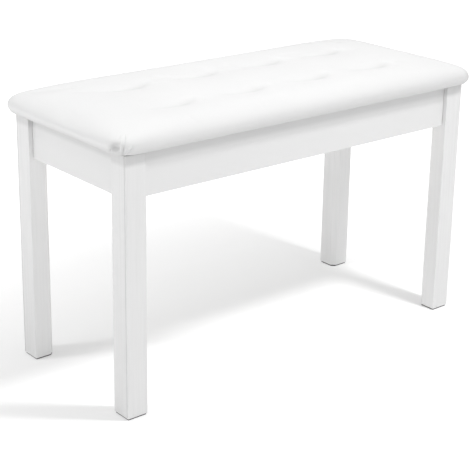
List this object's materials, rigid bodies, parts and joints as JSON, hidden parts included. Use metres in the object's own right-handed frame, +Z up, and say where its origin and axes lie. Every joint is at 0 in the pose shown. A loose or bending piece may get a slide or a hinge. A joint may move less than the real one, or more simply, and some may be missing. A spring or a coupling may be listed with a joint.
{
  "type": "piano bench",
  "caption": "Duet piano bench: tufted leather-covered seat lid, hinged over a music compartment, on straight square legs with plain aprons.",
  "frame": {"origin": "on the floor under the middle of the bench", "axes": "+Z up, +X along the bench's length, -Y towards the front, with the lid's hinges at +Y"},
  "size_m": [0.78, 0.342, 0.476],
  "materials": {
    "paint": "white satin paint over faint wood grain",
    "leather": "white satin synthetic leather",
    "foam": "open-cell polyurethane foam",
    "plywood": "sanded plywood",
    "raw_wood": "unfinished hardwood",
    "lining": "black non-woven cloth",
    "steel": "bright zinc plate",
    "rubber": "matt pale rubber",
    "felt": "pressed felt"
  },
  "bodies": {
    "frame": {"apron_front": "paint", "apron_left": "paint", "apron_rear": "paint", "apron_right": "paint", "bottom_panel": "plywood", "corner_block_front_left": "raw_wood", "corner_block_front_right": "raw_wood", "corner_block_rear_left": "raw_wood", "corner_block_rear_right": "raw_wood", "foot_pad_front_left": "felt", "foot_pad_front_right": "felt", "foot_pad_rear_left": "felt", "foot_pad_rear_right": "felt", "hinge_leaf_fixed_left": "steel", "hinge_leaf_fixed_right": "steel", "hinge_pin_left": "steel", "hinge_pin_right": "steel", "leg_bolt_front_left_lower": "steel", "leg_bolt_front_left_upper": "steel", "leg_bolt_front_right_lower": "steel", "leg_bolt_front_right_upper": "steel", "leg_bolt_rear_left_lower": "steel", "leg_bolt_rear_left_upper": "steel", "leg_bolt_rear_right_lower": "steel", "leg_bolt_rear_right_upper": "steel", "leg_front_left": "paint", "leg_front_right": "paint", "leg_rear_left": "paint", "leg_rear_right": "paint", "lid_bumper_front_left": "rubber", "lid_bumper_front_right": "rubber", "lid_bumper_rear_left": "rubber", "lid_bumper_rear_right": "rubber", "panel_cleat_front": "raw_wood", "panel_cleat_rear": "raw_wood", "stay_bracket_left": "steel", "stay_bracket_right": "steel", "stay_rivet_left": "steel", "stay_rivet_right": "steel", "washer_front_left_lower": "steel", "washer_front_left_upper": "steel", "washer_front_right_lower": "steel", "washer_front_right_upper": "steel", "washer_rear_left_lower": "steel", "washer_rear_left_upper": "steel", "washer_rear_right_lower": "steel", "washer_rear_right_upper": "steel"},
    "lid": {"seat_board": "plywood", "seat_foam": "foam", "seat_cover": "leather", "lid_lining": "lining", "hinge_leaf_moving_left": "steel", "hinge_leaf_moving_right": "steel", "stay_track_left": "steel", "stay_track_right": "steel"},
    "stay_arm_left": {"stay_arm_left": "steel"},
    "stay_arm_right": {"stay_arm_right": "steel"}
  },
  "joints": [
    {"name": "lid_hinge", "type": "hinge", "parent": "frame", "child": "lid", "pos_m": [0, 0.1533, 0.4326], "axis": [-1, 0, 0], "range_deg": [0, 70]},
    {"name": "stay_pivot_left", "type": "hinge", "parent": "frame", "child": "stay_arm_left", "pos_m": [-0.3402, 0.04497, 0.4135], "axis": [-1, 0, 0], "range_deg": [0, 140]},
    {"name": "stay_pivot_right", "type": "hinge", "parent": "frame", "child": "stay_arm_right", "pos_m": [0.3402, 0.04497, 0.4135], "axis": [-1, 0, 0], "range_deg": [0, 140]}
  ],
  "couplings": [
    {"joint": "stay_pivot_left", "follows": "lid_hinge", "ratio": 2},
    {"joint": "stay_pivot_right", "follows": "lid_hinge", "ratio": 2}
  ]
}
